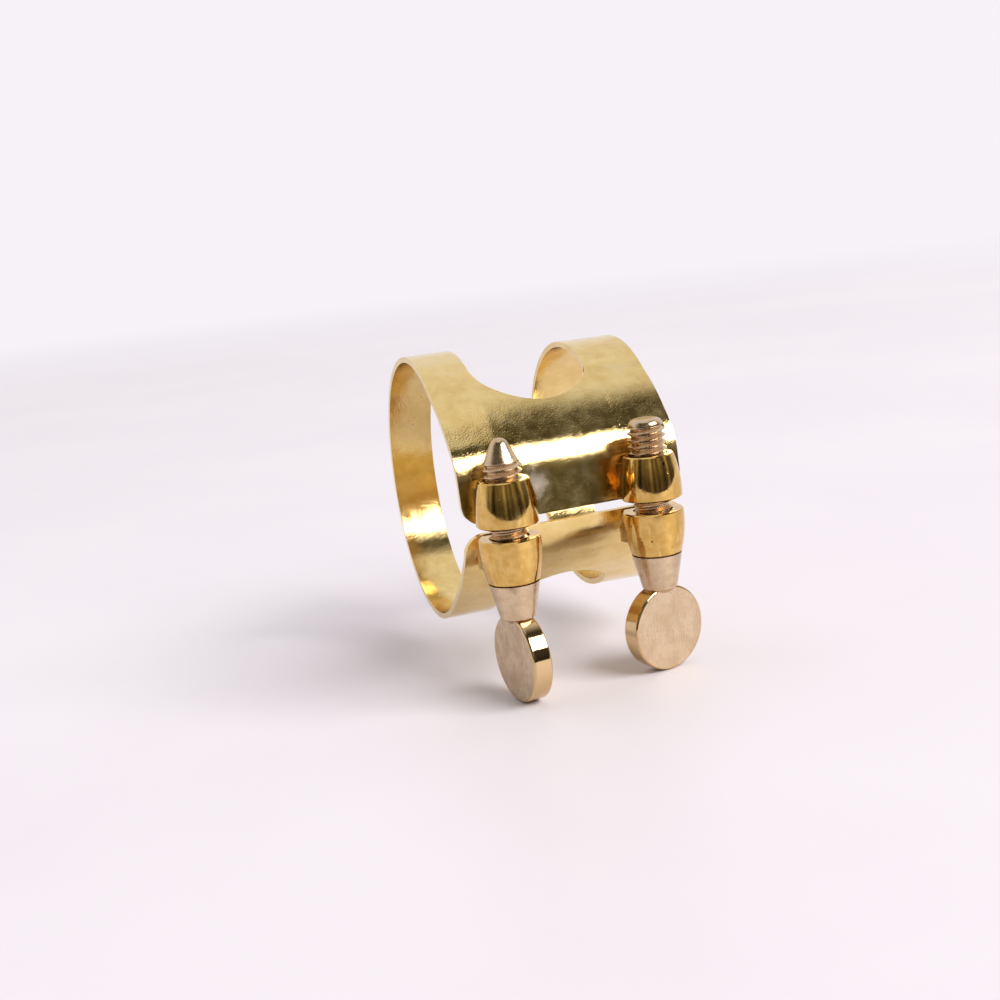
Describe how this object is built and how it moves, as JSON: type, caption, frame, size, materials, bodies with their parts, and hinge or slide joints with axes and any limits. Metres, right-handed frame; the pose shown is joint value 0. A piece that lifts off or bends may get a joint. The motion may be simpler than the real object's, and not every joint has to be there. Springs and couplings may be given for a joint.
{
  "type": "saxophone ligature",
  "caption": "Rolled sheet-brass clamp band with two thumbscrews through split barrels, made to hold a reed on a woodwind mouthpiece.",
  "frame": {"origin": "on the axis of the band's round back, which is the mouthpiece's axis, halfway between the two edges of the strip", "axes": "+X along the mouthpiece, from the wide strap to the narrow strap; +Z along the screws, from the finger discs to the tips; -Y towards the reed and the split, where the screws are"},
  "size_m": [0.0214, 0.0345, 0.0303],
  "materials": {
    "band_brass": "clear-lacquered sheet brass, polished with a fine orange-peel grain",
    "barrel_brass": "turned brass, polished and lacquered",
    "screw_brass": "turned brass, fine brushed faces, lacquered, slightly pale",
    "solder": "hard solder, dull and slightly pitted"
  },
  "bodies": {
    "band_and_lower_barrels": {"band": "band_brass", "lower_barrel_wide": "barrel_brass", "lower_solder_wide": "solder", "lower_barrel_narrow": "barrel_brass", "lower_solder_narrow": "solder"},
    "upper_barrels": {"upper_barrel_wide": "barrel_brass", "upper_solder_wide": "solder", "upper_barrel_narrow": "barrel_brass", "upper_solder_narrow": "solder"},
    "wide_screw": {"thumbscrew_wide": "screw_brass"},
    "narrow_screw": {"thumbscrew_narrow": "screw_brass"}
  },
  "joints": [
    {"name": "wide_screw_turn", "type": "hinge", "parent": "band_and_lower_barrels", "child": "wide_screw", "pos_m": [-0.00726, -0.01745, -0.0017], "axis": [0, 0, 1], "range_deg": [-1440, 480]},
    {"name": "narrow_screw_turn", "type": "hinge", "parent": "band_and_lower_barrels", "child": "narrow_screw", "pos_m": [0.00674, -0.0168, -0.0017], "axis": [0, 0, 1], "range_deg": [-1440, 480]},
    {"name": "jaw_slide", "type": "slide", "parent": "band_and_lower_barrels", "child": "upper_barrels", "axis": [0, 0, 1], "range_m": [-0.0008, 0.0024], "deforming": ["band"]}
  ],
  "couplings": [
    {"joint": "wide_screw_turn", "follows": "jaw_slide", "rad_per_m": -10472},
    {"joint": "narrow_screw_turn", "follows": "jaw_slide", "rad_per_m": -10472}
  ]
}
